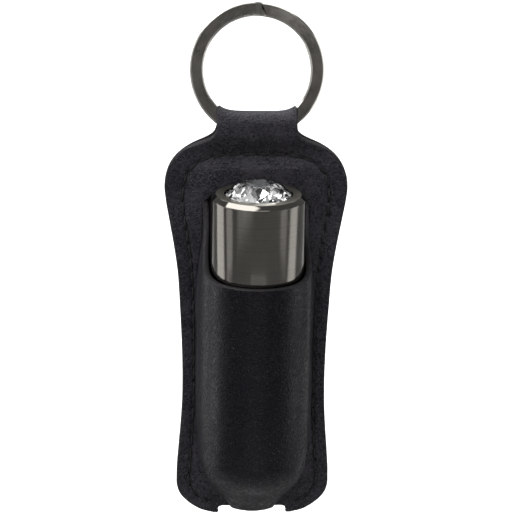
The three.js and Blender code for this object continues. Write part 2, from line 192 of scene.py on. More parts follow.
def finish_material(place, inputs):
    """Ends a material with one Principled shader and returns it."""
    shader = place.node("ShaderNodeBsdfPrincipled", {}, inputs)
    place.node("ShaderNodeOutputMaterial", {}, {"Surface": shader})
    return next(m for m in bpy.data.materials if m.node_tree == place.tree)


def object_from(name, verts, faces, material, place=None):
    """A smooth-shaded mesh object at the origin from points in millimetres, set in place by a matrix."""
    mesh = bpy.data.meshes.new(name)
    mesh.from_pydata([tuple(c * MM for c in v) for v in verts], [], faces)
    if place is not None:
        mesh.transform(place)
    mesh.update()
    mesh.polygons.foreach_set("use_smooth", [True] * len(mesh.polygons))
    if material is not None:
        mesh.materials.append(material)
    obj = bpy.data.objects.new(name, mesh)
    scene.collection.objects.link(obj)
    return obj


def lathe_mesh(profile, sides):
    """Vertices and faces turned about Z from (radius, height) points; points on the axis close it."""
    verts = []
    rows = []
    for r, z in profile:
        if r < 1e-9:
            rows.append([len(verts)] * sides)
            verts.append((0.0, 0.0, z))
        else:
            rows.append(list(range(len(verts), len(verts) + sides)))
            for k in range(sides):
                a = 2 * math.pi * k / sides
                verts.append((r * math.cos(a), r * math.sin(a), z))
    faces = []
    for lower, upper in zip(rows, rows[1:]):
        for k in range(sides):
            m = (k + 1) % sides
            face = [lower[k], lower[m], upper[m], upper[k]]
            face = [v for i, v in enumerate(face) if v != face[i - 1]]
            if len(face) > 2:
                faces.append(face)
    return verts, faces


PAPER_RADIUS = 1500
PAPER_HEIGHT = 1300
FLOOR_DROP = 640
FLOOR_BEND = 500
BACK_PAPER = (0.9, 0.9, 0.9)
FRONT_PAPER = (0.47, 0.47, 0.47)


def paper():
    """Matt paper, white behind the object and grey elsewhere, with a faint drift of tone."""
    place = object_place("studio_paper")
    across = place.node("ShaderNodeSeparateXYZ", {}, {"Vector": place}, 0)
    back = place.node("ShaderNodeSeparateXYZ", {}, {"Vector": place}, 1)
    white = back.span(0.5, 1.3) * (1 - across.math("ABSOLUTE", across).span(0.35, 1.1))
    drift = place.noise(1.5)
    colour = (white + 0.06 * (drift - 0.5)).mix(FRONT_PAPER, BACK_PAPER)
    return finish_material(place, {"Base Color": colour, "Roughness": 0.9})


floor = cad_box[0].z / MM - FLOOR_DROP
profile = [(0.0, floor)]
for bend in np.linspace(0, math.pi / 2, 14):
    across = PAPER_RADIUS - FLOOR_BEND + FLOOR_BEND * math.sin(bend)
    profile.append((across, floor + FLOOR_BEND * (1 - math.cos(bend))))
profile.append((PAPER_RADIUS, floor + PAPER_HEIGHT))
bowl = object_from("studio_bowl", *lathe_mesh(profile, 96), paper())

scene.view_settings.view_transform = "Standard"
SKY = 0.2
scene.world = bpy.data.worlds.new("studio_air")
scene.world.use_nodes = True
scene.world.node_tree.nodes["Background"].inputs["Color"].default_value = (1.0, 1.0, 1.0, 1.0)
scene.world.node_tree.nodes["Background"].inputs["Strength"].default_value = SKY

BOX_DISTANCE = 0.8


def soft_box(name, azimuth, elevation, size, brightness, target=(0, 0, -0.04), distance=BOX_DISTANCE):
    """A soft box that faces the target; azimuth 0 is the camera's side and 90 is +X, in degrees."""
    a, e = math.radians(azimuth), math.radians(elevation)
    out = Vector((math.sin(a) * math.cos(e), -math.cos(a) * math.cos(e), math.sin(e)))
    light = bpy.data.lights.new(name, "AREA")
    light.shape = "RECTANGLE"
    light.size, light.size_y = size
    light.energy = brightness * math.pi * size[0] * size[1]
    obj = bpy.data.objects.new(name, light)
    obj.location = Vector(target) + out * distance
    obj.rotation_euler = (-out).to_track_quat("-Z", "Y").to_euler()
    obj.visible_camera = False
    scene.collection.objects.link(obj)


soft_box("key_box", -54, 58, (0.8, 0.36), 4.4)
soft_box("brow_card", 6, 40, (0.5, 0.24), 3.4)
soft_box("left_box", -109, 4, (0.36, 1.0), 1.35)
soft_box("right_box", 95, 4, (0.34, 1.0), 1.1)
soft_box("left_card", -79, 4, (0.24, 0.9), 0.55)
soft_box("right_card", 64, 4, (0.26, 0.9), 0.38)
soft_box("front_card", -36, 4, (0.6, 0.9), 0.3)
soft_box("slit", -36, 6, (0.02, 0.8), 3.0)
soft_box("low_card", 0, -46, (0.5, 0.2), 0.5)
soft_box("back_card", 180, 30, (0.9, 0.4), 0.55)
soft_box("top_box", 180, 68, (0.8, 0.5), 2.4)
soft_box("wall_panel", 0, 0, (1.1, 1.0), 2.8, target=(0, 1.5, 0.0), distance=0.5)

# ---------------------------------------------------------------------------------------------
# The split ring: flat spring-steel wire wound twice, black-nickel plated and tumbled. Both ends of
# the wire are cut on a slant and ground thin, where one coil steps across to the other.
# ---------------------------------------------------------------------------------------------
RING_OUTER = (ring_high.x - ring_low.x) / 2 / MM
RING_WIDE = 2.5
RING_COIL = 0.84
RING_PITCH = 0.92
STEP_FROM = math.radians(28)
STEP_ANGLE = math.radians(56)
END_GAP = math.radians(0.5)
END_SLANT = 0.09
GROUND = math.radians(10)
GROUND_THIN = 0.2
RING_BEVEL = 0.27
RING_ROWS = 640


def smooth_step(t):
    t = np.clip(t, 0.0, 1.0)
    return t * t * (3 - 2 * t)


def black_nickel():
    """Dark satin plating with rolling marks along the wire; the bevels are painted pale, partly as worn plating
    and partly as a painted highlight, and a streaked painted highlight lies over the step.
    """
    place = object_place("black_nickel")
    wire = attribute(place, "wire_place", 1)
    worn_bevel_highlight = attribute(place, "bevel_wear_highlight", 2)
    step_highlight = attribute(place, "step_highlight", 2)
    rolled = wire.node("ShaderNodeMapping", {}, {"Vector": wire, "Scale": (0.35, 9.0, 9.0)})
    marks = rolled.noise(2.2, 4.0, 0.7)
    cloud = place.noise(300.0, 4.0, 0.6)
    step_highlight_part = wire.node("ShaderNodeMapping", {}, {"Vector": wire, "Scale": (0.3, 5.0, 2.0)})
    streaks = step_highlight_part.noise(2.6, 3.0, 0.6)
    dark = cloud.span(0.3, 0.7).mix((0.195, 0.184, 0.168), (0.265, 0.25, 0.232))
    # The bevels are painted nearly as pale as bare metal: partly worn plating, partly a painted highlight. The
    # streaks over the step are a painted highlight, brightest on the outer edge.
    colour = (worn_bevel_highlight * 0.9 + step_highlight * streaks.span(0.45, 0.65) * 0.55).mix(dark, (0.66, 0.64, 0.6))
    rough = 0.3 + 0.2 * (marks - 0.5) + 0.16 * (cloud - 0.5) - 0.08 * worn_bevel_highlight
    bump = (marks + 0.3 * cloud).bump(0.35, 0.00002)
    return finish_material(
        place, {"Base Color": colour, "Metallic": 1.0, "Roughness": rough, "Normal": bump},
    )


def make_ring():
    """Sweeps a bevelled flat section along the two turns of wire, with the step between them."""
    mid = RING_OUTER - RING_WIDE / 2
    half, thick = RING_WIDE / 2, RING_COIL / 2
    b = RING_BEVEL
    section = [
        (half, -thick + b), (half, thick - b), (half - b, thick), (-half + b, thick),
        (-half, thick - b), (-half, -thick + b), (-half + b, -thick), (half - b, -thick),
    ]
    verts, faces, places, worn, step_highlights = [], [], [], [], []
    full = 4 * math.pi - STEP_ANGLE - 2 * END_GAP
    n = len(section)
    for i in range(RING_ROWS + 1):
        swept = full * i / RING_ROWS
        across = float(smooth_step((swept - (2 * math.pi - STEP_ANGLE - END_GAP)) / STEP_ANGLE))
        first = GROUND_THIN + (1 - GROUND_THIN) * float(smooth_step(swept / GROUND))
        last = GROUND_THIN + (1 - GROUND_THIN) * float(smooth_step((full - swept) / GROUND))
        for r, y in section:
            y = thick - (thick - y) * first
            y = (thick + y) * last - thick
            cut = END_SLANT * r / half * (i == 0 or i == RING_ROWS)
            a = STEP_FROM + STEP_ANGLE + END_GAP + swept + cut
            verts.append(((mid + r) * math.cos(a), y + RING_PITCH * (across - 0.5), (mid + r) * math.sin(a)))
            places.append((swept * mid, r, y))
            # A painted highlight lies over the quarter where the wire steps across, brighter towards the outer
            # edge.
            turned = math.degrees(a) % 360
            step_highlight_part = float(smooth_step((turned - 12) / 25) * (1 - smooth_step((turned - 76) / 8)))
            step_highlights.append(step_highlight_part * (0.55 + 0.45 * r / half))
    for i in range(RING_ROWS):
        for k in range(n):
            m = (k + 1) % n
            faces.append([i * n + k, i * n + m, (i + 1) * n + m, (i + 1) * n + k])
            # Bevel faces are flagged for pale paint: partly worn plating, partly a painted highlight.
            worn.append(float(k % 2 == 1))
    faces += [list(range(n)), list(range(RING_ROWS * n, (RING_ROWS + 1) * n))[::-1]]
    worn += [0.6, 0.6]
    obj = object_from("ring_wire", verts, faces, black_nickel(), Matrix.Translation(ring_centre))
    mesh = obj.data
    mesh.attributes.new("wire_place", "FLOAT_VECTOR", "POINT").data.foreach_set(
        "vector", np.array(places, np.float32).ravel())
    mesh.attributes.new("step_highlight", "FLOAT", "POINT").data.foreach_set("value", step_highlights)
    mesh.attributes.new("bevel_wear_highlight", "FLOAT", "FACE").data.foreach_set("value", worn)
    for edge in mesh.edges:
        edge.use_edge_sharp = abs(edge.vertices[0] - edge.vertices[1]) >= n
    tidy_normals(obj)
    return obj


def tidy_normals(obj):
    """Turns every face outward."""
    bm = bmesh.new()
    bm.from_mesh(obj.data)
    bmesh.ops.recalc_face_normals(bm, faces=bm.faces)
    bm.to_mesh(obj.data)
    bm.free()


ring = make_ring()
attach(ring, "ring")
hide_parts("split_ring")

# ---------------------------------------------------------------------------------------------
# The hide: one piece of black pebbled leather, cut in an hourglass, folded over the ring's wire
# and sewn round its edge. The front half is wet-moulded over the light, with a window for its head.
# ---------------------------------------------------------------------------------------------
hinge = Vector(joints["loop_swing"]["pos_m"])
back_axis = Vector(mounts["sheath_back"]["axis"])
lean = math.atan2(back_axis.z, back_axis.y)
sheath_place = Matrix.Translation(hinge) @ Matrix.Rotation(lean, 4, "X")
light_axis = Vector(joints["light_slide"]["axis"])
tilt = math.atan2(-light_axis.y, light_axis.z) - lean
face_centre = sheath_place.inverted() @ Vector(joints["head_twist"]["pos_m"])
FACE_W = -face_centre.y / MM
FACE_S = face_centre.z / MM

# In the sheath, x runs across, w forward from the seam's plane, and s up from the hinge.
HIDE = 1.1
EDGE_ROUND = 0.24
PANEL_W = 0.7
BOTTOM = -77.4
NOTCH_TOP = -75.9
TOE_DROP = -0.25
PEBBLE_SCALE = 2900.0
WINDOW_TOP = -13.0
WINDOW_RISE = 3.6
FOOT = 9.7
FILLET = 3.2
POCKET_R = 9.45
TOE_S = FACE_S - 53.5
STRAP_HALF = 7.15
LOOP_TOP = 3.75
LOOP_DEPTH = 2.1
LOOP_CORNER_RISE = 1.0


def through(points):
    """A smooth curve through (place, value) points whose places fall."""
    xs = np.array([p[0] for p in points][::-1], float)
    ys = np.array([p[1] for p in points][::-1], float)
    slopes = np.gradient(ys, xs)

    def at(s):
        s = np.clip(s, xs[0], xs[-1])
        i = np.clip(np.searchsorted(xs, s) - 1, 0, len(xs) - 2)
        h = xs[i + 1] - xs[i]
        t = (s - xs[i]) / h
        a, b = ys[i], ys[i + 1]
        m, n = slopes[i] * h, slopes[i + 1] * h
        return a + t * m + t * t * (3 * (b - a) - 2 * m - n) + t ** 3 * (2 * (a - b) + m + n)

    return at


half_width = through([
    (6, 7.1), (3, 7.15), (1.5, 7.2), (0.4, 7.35), (-0.4, 7.7), (-1.1, 8.4), (-1.8, 9.7), (-2.5, 11.5),
    (-3.3, 13.1), (-4.3, 14.4), (-5.7, 15.6), (-8.0, 16.65), (-10.3, 17.0), (-12.7, 16.8), (-17.3, 16.05),
    (-22, 15.25), (-26.8, 14.6), (-34, 14.15), (-44, 13.75), (-49, 13.7), (-54, 13.8), (-59, 14.12),
    (-64, 14.55), (-69.4, 14.9), (-71.5, 14.85), (-73.2, 14.3), (-74.8, 13.0), (-76.1, 11.3), (-76.9, 9.7),
    (-77.4, 7.7),
])
pocket_half = through([
    (-40, POCKET_R), (TOE_S + 4, POCKET_R), (TOE_S + 1, 9.4), (TOE_S - 2, 9.05), (TOE_S - 5, 8.2),
    (TOE_S - 8, 6.85), (TOE_S - 11, 5.0), (NOTCH_TOP - TOE_DROP, 3.9),
])
pocket_crown = through([
    (-40, POCKET_R), (TOE_S + 4, POCKET_R), (TOE_S + 1, 9.35), (TOE_S - 2, 8.7), (TOE_S - 5, 7.2),
    (TOE_S - 8, 5.2), (TOE_S - 11, 3.2), (NOTCH_TOP - TOE_DROP, 2.1),
])


def axis_w(s):
    """The light's axis, forward of the seam."""
    return FACE_W - (FACE_S - s) * math.tan(tilt)


pocket_spring = through([
    (-40, axis_w(-40)), (TOE_S + 4, axis_w(TOE_S + 4)), (TOE_S + 1, 8.5), (TOE_S - 2, 7.3), (TOE_S - 5, 5.2),
    (TOE_S - 8, 3.0), (TOE_S - 11, 1.8), (NOTCH_TOP - TOE_DROP, 1.3),
])

# The seam runs inside the edge from one side of the notch, round the top, to the other.
SEAM = [
    (0, -4.2), (4, -4.25), (7.0, -4.5), (9.6, -5.2), (12.0, -6.8), (13.4, -9.3), (13.75, -12), (13.6, -15.5),
    (12.9, -20), (12.25, -25), (11.9, -30), (11.7, -38), (11.65, -47), (11.75, -55), (12.1, -62),
    (12.55, -69),
    (12.45, -71.6), (11.5, -73.6), (10.0, -74.7), (8.3, -75.0),
]


def seam_points(step=0.1):
    """The seam as closely spaced points: its right half by a Catmull-Rom curve, then mirrored."""
    knots = np.array([(-SEAM[1][0], SEAM[1][1])] + SEAM + [SEAM[-1]], float)
    points = []
    for a, b, c, d in zip(knots, knots[1:], knots[2:], knots[3:]):
        count = max(2, int(np.linalg.norm(c - b) / step))
        for t in np.linspace(0, 1, count, endpoint=False):
            bend = 2 * a - 5 * b + 4 * c - d
            twist = 3 * b - a - 3 * c + d
            points.append(0.5 * (2 * b + (c - a) * t + bend * t * t + twist * t ** 3))
    points.append(knots[-1])
    right = np.array(points)
    return np.vstack([right[:0:-1] * (-1, 1), right])


seam_line = seam_points()
seam_run = np.concatenate([[0], np.cumsum(np.linalg.norm(np.diff(seam_line, axis=0), axis=1))])
STITCH = 2.8
stitch_count = round(seam_run[-1] / STITCH)
stitch_step = seam_run[-1] / stitch_count


def sewn_in(x, s):
    """How far the thread pulls the hide in at a point: a groove, and a pit at each hole."""
    line, run = seam_line[::3], seam_run[::3]
    away = np.hypot(np.subtract.outer(x, line[:, 0]), np.subtract.outer(s, line[:, 1]))
    nearest = away.argmin(-1)
    distance = np.take_along_axis(away, nearest[..., None], -1)[..., 0]
    from_hole = np.abs((run[nearest] / stitch_step + 0.5) % 1.0 - 0.5) * stitch_step
    groove = 0.2 * np.exp(-(distance / 0.45) ** 2) + 0.16 * np.exp(-(distance / 1.6) ** 2)
    pit = 0.42 * np.exp(-(distance / 0.42) ** 2 - (from_hole / 0.5) ** 2)
    return groove + pit


LEG = through([(1.6, 2.1), (0.2, 2.05), (-0.7, 1.95), (-1.5, 1.7), (-2.2, 1.35), (-2.9, 1.0), (-3.6, 0.8),
               (-4.4, PANEL_W), (-5.2, PANEL_W), (-90, PANEL_W)])


def panel_w(x, s):
    """Middle of the hide's thickness, forward of the seam, on a flat part."""
    return LEG(s) - sewn_in(x, s)


def front_w(x, s):
    """The same on the front half, which the moulding plumps forward above the window and beside it."""
    above = smooth_step((-5.0 - s) / 2.4) * (1 - smooth_step((WINDOW_TOP + 2 - s) / 4.0))
    plump = 0.75 * above * (1 - smooth_step((np.abs(x) - 8.0) / 4.0))
    puckers = 0.05 * np.sin(x * 1.7 + 0.6) * np.sin(s * 0.9) * above
    return panel_w(x, s) + plump + puckers


def lobes(flange_share):
    """Height of the bottom edge across a flange: out of the notch, then down into a round lobe."""
    return NOTCH_TOP + (BOTTOM - NOTCH_TOP) * smooth_step((flange_share - 0.04) / 0.66)


pocket_foot = through([
    (WINDOW_TOP, FOOT), (-19, FOOT), (-25, 10.6), (-31, 11.3), (-40, 11.35), (TOE_S + 4, 11.3),
    (TOE_S + 1, 11.1),
    (TOE_S - 2, 10.75), (TOE_S - 5, 9.95), (TOE_S - 8, 8.6), (TOE_S - 11, 6.8), (NOTCH_TOP - TOE_DROP, 5.4),
])


def foot_x(s):
    """Where the pocket rises from the flange; above the window, the same share of the width."""
    above = FOOT * half_width(s) / half_width(WINDOW_TOP)
    return np.where(s > WINDOW_TOP, above, pocket_foot(s))


FLANGE_COLUMNS = 20
MIDDLE_COLUMNS = 30
POCKET_COLUMNS = 52
BACK_ROWS = 190
FRONT_ROWS = 225
flange_shares = np.linspace(0, 1, FLANGE_COLUMNS + 1)
middle_shares = np.linspace(-1, 1, MIDDLE_COLUMNS + 1)
strip_flange = np.concatenate([flange_shares[:0:-1], np.zeros(MIDDLE_COLUMNS + 1), flange_shares[1:]])
strip_middle = np.concatenate([-np.ones(FLANGE_COLUMNS), middle_shares, np.ones(FLANGE_COLUMNS)])


def strip_x(s):
    """Places across of the strip's columns: flange, middle, flange."""
    foot = foot_x(s)
    return strip_middle * (foot + strip_flange * (half_width(s) - foot))


def row_shares(rows):
    """Row places from top to bottom, crowded at the bottom, where the outline turns in."""
    even = np.linspace(0, 0.93, rows - 26, endpoint=False)
    return np.concatenate([even, 0.93 + 0.07 * np.sin(np.linspace(0, math.pi / 2, 27))])


def folded_strip():
    """Back half, loop and arch as one grid of rows, from the back's bottom edge to the window's top."""
    rows = []
    top = -2.2
    for t in row_shares(BACK_ROWS)[::-1]:
        s = top + t * (lobes(strip_flange) - top)
        x = strip_x(s)
        rows.append(np.stack([x, panel_w(x, s), s], axis=1))
    centre_s = 1.4
    reach = LOOP_TOP - HIDE / 2 - centre_s
    legs = np.linspace(top, centre_s, 16)[1:]
    for height in legs:
        s = np.full(strip_flange.shape, height)
        rows.append(np.stack([strip_x(s), LEG(s), s], axis=1))
    for a in np.linspace(0, math.pi, 26)[1:-1]:
        x = strip_x(np.full(strip_flange.shape, centre_s))
        s = centre_s + (reach + LOOP_CORNER_RISE * np.abs(x / STRAP_HALF) ** 5) * math.sin(a)
        rows.append(np.stack([x, np.full(x.shape, LOOP_DEPTH * math.cos(a)), s], axis=1))
    for height in legs[::-1]:
        s = np.full(strip_flange.shape, height)
        rows.append(np.stack([strip_x(s), -LEG(s), s], axis=1))
    crown = WINDOW_TOP + WINDOW_RISE * (1 - np.abs(strip_middle) ** 3)
    for t in np.linspace(0, 1, 40):
        s = top + t * (crown - top)
        x = strip_x(s)
        rows.append(np.stack([x, -front_w(x, s), s], axis=1))
    return rows


# How far in from its foot the pocket's wall would meet the flange if there were no fillet.
pocket_ease = through([
    (WINDOW_TOP, 0.3), (-24, 0.45), (-40, 0.7), (TOE_S, 0.9), (TOE_S - 6, 1.3), (-78, 1.7),
])


def pocket_point(share, s):
    """A point of the pocket's section at height s; share runs from the left foot to the right."""
    side = -1 if share < 0.5 else 1
    along = min(share, 1 - share) * 2
    r, crown = float(pocket_half(s)), float(pocket_crown(s))
    spring = float(pocket_spring(s)) if s < -40 else axis_w(s)
    foot = float(foot_x(s))
    base = float(front_w(np.array(foot), np.array(s)))
    corner = foot - float(pocket_ease(s))
    # The wall leans in from the corner and meets the crown where it is tangent to it.
    a, b, c = corner * crown, (spring - base) * r, r * crown
    meets = min(math.asin(c / math.hypot(a, b)) + math.atan2(b, a), math.pi / 2)
    top = np.array((r * math.sin(meets), spring + crown * math.cos(meets)))
    low = np.array((corner, base))
    wall = np.linalg.norm(top - low)
    fillet = min(FILLET, wall * 0.75)
    end = low + (top - low) * fillet / wall
    lengths = [fillet * 1.1, wall - fillet, (r + crown) / 2 * meets]
    place = along * sum(lengths)
    if place < lengths[0]:
        t = place / lengths[0]
        x, w = (1 - t) ** 2 * np.array((foot, base)) + 2 * t * (1 - t) * low + t * t * end
    elif place < lengths[0] + lengths[1]:
        x, w = end + (top - end) * (place - lengths[0]) / lengths[1]
    else:
        turn_left = meets * (1 - (place - lengths[0] - lengths[1]) / lengths[2])
        x, w = r * math.sin(turn_left), spring + crown * math.cos(turn_left)
    return side * x, w


# The window's side edges in side view: how high the hide is left standing at each distance forward.
window_side = through([(26, -25.0), (20, -25.0), (16, -24.8), (12, -23.9), (8.5, -22.4), (5.5, -20.2),
                       (3.4, -17.8), (1.9, -15.4), (0.7, WINDOW_TOP), (0, WINDOW_TOP)])


def moulded_pocket():
    """The pocket from the window's edge to its mouth in the notch, columns round the light."""
    shares = np.linspace(0, 1, POCKET_COLUMNS + 1)
    rows = []
    for t in row_shares(FRONT_ROWS):
        row = []
        for share in shares:
            top = WINDOW_TOP
            if 0 < share < 1:
                top = float(window_side(pocket_point(share, -18.0)[1]))
            mouth = NOTCH_TOP - TOE_DROP * math.sin(math.pi * share) ** 2
            s = top + t * (mouth - top)
            x, w = pocket_point(share, s)
            row.append((x, -w, s))
        rows.append(np.array(row))
    return rows


def front_flange(side):
    """One flange of the front half, from the pocket's foot to the edge."""
    rows = []
    for t in row_shares(FRONT_ROWS):
        s = WINDOW_TOP + t * (lobes(flange_shares) - WINDOW_TOP)
        foot = foot_x(s)
        x = foot + flange_shares * (half_width(s) - foot)
        rows.append(np.stack([side * x, -front_w(x, s), s], axis=1))
    return rows


def grid_faces(rows, start):
    columns = len(rows[0])
    faces = []
    for i in range(len(rows) - 1):
        for j in range(columns - 1):
            a = start + i * columns + j
            faces.append([a, a + 1, a + columns + 1, a + columns])
    return faces


def leather():
    """Black hide: pebble grain that breaks up its gloss, smoother where it is pulled tight over the light, and
    painted much darker there as shade.
    """
    place = object_place("black_hide")
    rim = attribute(place, "cut_edge", 2)
    flesh = attribute(place, "flesh_side", 2)
    stretched_and_shaded = attribute(place, "stretched_and_shaded", 2)
    pebble = place.node(
        "ShaderNodeTexVoronoi", {"feature": "SMOOTH_F1"},
        {"Vector": place, "Scale": PEBBLE_SCALE, "Smoothness": 0.4},
    )
    cells = place.node("ShaderNodeTexVoronoi", {}, {"Vector": place, "Scale": PEBBLE_SCALE}, 1)
    cell = cells.node("ShaderNodeSeparateColor", {}, {"Color": cells}, 0)
    fine = place.noise(5600.0, 2.0, 0.6)
    broad = place.noise(150.0, 3.0, 0.55)
    crease = place.noise(430.0, 4.0, 0.7)
    worked = place.noise(70.0, 2.0, 0.5).span(0.35, 0.65)
    depth = (0.7 + 0.9 * worked) * (1 - 0.7 * stretched_and_shaded) * (1 - 0.7 * flesh)
    grain = (1.2 * pebble + 0.35 * fine) * depth + 0.45 * crease + flesh * fine
    tone = (broad + 0.5 * (cell - 0.5)).span(0.3, 0.75)
    dark = tone.mix((0.0185, 0.0176, 0.0225), (0.046, 0.0438, 0.0525))
    # Painted shade: the pocket's crown is coloured nearly black, far darker than the flat hide.
    pocket_shaded_colour = stretched_and_shaded.mix(dark, (0.0022, 0.0019, 0.0038))
    worn = (rim * fine).mix(pocket_shaded_colour, (0.03, 0.028, 0.028))
    colour = flesh.mix(worn, (0.02, 0.016, 0.014))
    glancing = place.node("ShaderNodeLayerWeight", {}, {"Blend": 0.5}, 1)
    rough = 0.38 + 0.3 * (cell - 0.5) + 0.25 * (broad - 0.5) - 0.08 * stretched_and_shaded + 0.3 * flesh + 0.2 * rim
    rough = rough + 0.6 * glancing.math("POWER", glancing, 2.5)
    return finish_material(
        place,
        {
            "Base Color": colour, "Roughness": rough, "Normal": grain.bump(0.95, 0.00014),
            "Specular IOR Level": 0.33, "Specular Tint": (0.95, 0.92, 1.0),
        },
    )


def thicken(name, verts, faces, material, place):
    """Gives a sheet its thickness about its middle, with rounded cut edges, as one closed mesh."""
    bm = bmesh.new()
    made = [bm.verts.new(v) for v in verts]
    for face in faces:
        bm.faces.new([made[i] for i in face])
    bmesh.ops.remove_doubles(bm, verts=bm.verts, dist=0.01)
    bmesh.ops.recalc_face_normals(bm, faces=bm.faces)
    bm.faces.ensure_lookup_table()
    if bm.faces[0].normal.y < 0:
        bmesh.ops.reverse_faces(bm, faces=bm.faces)
    bm.normal_update()
    bm.verts.index_update()
    count = len(bm.verts)
    middle = np.array([v.co for v in bm.verts])
    normal = np.array([v.normal for v in bm.verts])
    outward = np.zeros((count, 3))
    rim_edges = [e for e in bm.edges if len(e.link_faces) == 1]
    for edge in rim_edges:
        face = edge.link_faces[0]
        away = (edge.verts[1].co - edge.verts[0].co).normalized().cross(face.normal)
        if away.dot(face.calc_center_median() - edge.verts[0].co) > 0:
            away = -away
        for vert in edge.verts:
            outward[vert.index] += away
    lengths = np.linalg.norm(outward, axis=1, keepdims=True)
    outward = np.divide(outward, lengths, out=outward, where=lengths > 0)
    points = [middle + normal * HIDE / 2, middle - normal * HIDE / 2]
    skin = [[v.index for v in f.verts] for f in bm.faces]
    skin += [[v.index + count for v in f.verts][::-1] for f in bm.faces]
    rings = 6
    rim = sorted({v.index for e in rim_edges for v in e.verts})
    slot = {v: i for i, v in enumerate(rim)}
    for k in range(1, rings):
        a = math.pi * k / rings
        up = math.copysign(abs(math.cos(a)) ** 0.55, math.cos(a)) * HIDE / 2
        points.append(middle[rim] + normal[rim] * up + outward[rim] * EDGE_ROUND * math.sin(a) ** 0.7)

    def on_ring(v, k):
        if k == 0:
            return v
        return v + count if k == rings else 2 * count + (k - 1) * len(rim) + slot[v]

    for edge in rim_edges:
        face = edge.link_faces[0]
        a, b = (v.index for v in edge.verts)
        order = [v.index for v in face.verts]
        if order[(order.index(a) + 1) % len(order)] == b:
            a, b = b, a
        for k in range(rings):
            skin.append([on_ring(a, k), on_ring(b, k), on_ring(b, k + 1), on_ring(a, k + 1)])
    bm.free()
    obj = object_from(name, np.vstack(points), skin, material, place)
    flesh = np.zeros(sum(len(p) for p in points))
    flesh[count:2 * count] = 1.0
    cut = np.zeros(len(flesh))
    cut[2 * count:] = 1.0
    obj.data.attributes.new("flesh_side", "FLOAT", "POINT").data.foreach_set("value", flesh)
    obj.data.attributes.new("cut_edge", "FLOAT", "POINT").data.foreach_set("value", cut)
    forward = -np.vstack(points)[:, 1]
    # Marks the pocket that stands forward: its grain is smoothed there and its colour gets painted shade.
    moulded = smooth_step((forward - 2.2) / 3.0) * (np.vstack(points)[:, 2] < WINDOW_TOP)
    obj.data.attributes.new("stretched_and_shaded", "FLOAT", "POINT").data.foreach_set("value", moulded)
    return obj


def make_hide():
    verts, faces = [], []
    for rows in (folded_strip(), moulded_pocket(), front_flange(-1), front_flange(1)):
        faces += grid_faces(rows, len(verts))
        verts += [tuple(p) for row in rows for p in row]
    return thicken("hide", verts, faces, leather(), sheath_place)


hide = make_hide()
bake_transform(hide)
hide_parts("loop_strap", "front_panel", "back_panel")

# ---------------------------------------------------------------------------------------------
# The seam: waxed black thread in a lock stitch, pulled down into the hide on both faces.
# ---------------------------------------------------------------------------------------------
THREAD_R = 0.24
STITCH_SINK = 0.42
LAY = 0.06


def waxed_thread():
    """Black waxed cord: two twisted plies, painted lighter on their crowns as sheen and darker between them."""
    place = object_place("waxed_thread")
    ply = attribute(place, "ply", 1)
    twist = ply.node(
        "ShaderNodeTexWave", {"bands_direction": "DIAGONAL"},
        {"Vector": ply, "Scale": 1.6, "Distortion": 0.4}, 1,
    )
    fuzz = place.noise(9000.0, 2.0)
    # Painted sheen: the plies' crowns are coloured lighter, while the roughness does not follow them.
    colour = twist.mix((0.004, 0.004, 0.005), (0.02, 0.02, 0.023))
    bump = (twist + 0.3 * fuzz).bump(0.7, 0.0001)
    return finish_material(place, {"Base Color": colour, "Roughness": 0.3 + 0.25 * fuzz, "Normal": bump})


def stitch_shape():
    """One stitch about the origin, along X: it rises from one hole and goes down the next."""
    length = stitch_step * 0.97
    verts, faces, plies = [], [], []
    sides, steps = 8, 10
    for i in range(steps + 1):
        t = i / steps
        x = (t - 0.5) * length
        z = STITCH_SINK * (math.sin(math.pi * t) ** 0.55 - 1)
        r = THREAD_R * (0.62 + 0.38 * math.sin(math.pi * t) ** 0.5)
        for k in range(sides):
            a = 2 * math.pi * k / sides
            verts.append((x, r * math.cos(a), z + r * 0.9 * math.sin(a)))
            plies.append((t * 3, k / sides, 0))
    for i in range(steps):
        for k in range(sides):
            m = (k + 1) % sides
            faces.append([i * sides + k, (i + 1) * sides + k, (i + 1) * sides + m, i * sides + m])
    faces.append(list(range(sides)))
    faces.append(list(range(steps * sides, (steps + 1) * sides))[::-1])
    obj = object_from("stitch_pattern", verts, faces, None)
    ply = obj.data.attributes.new("ply", "FLOAT_VECTOR", "POINT")
    ply.data.foreach_set("vector", np.array(plies, np.float32).ravel())
    return obj


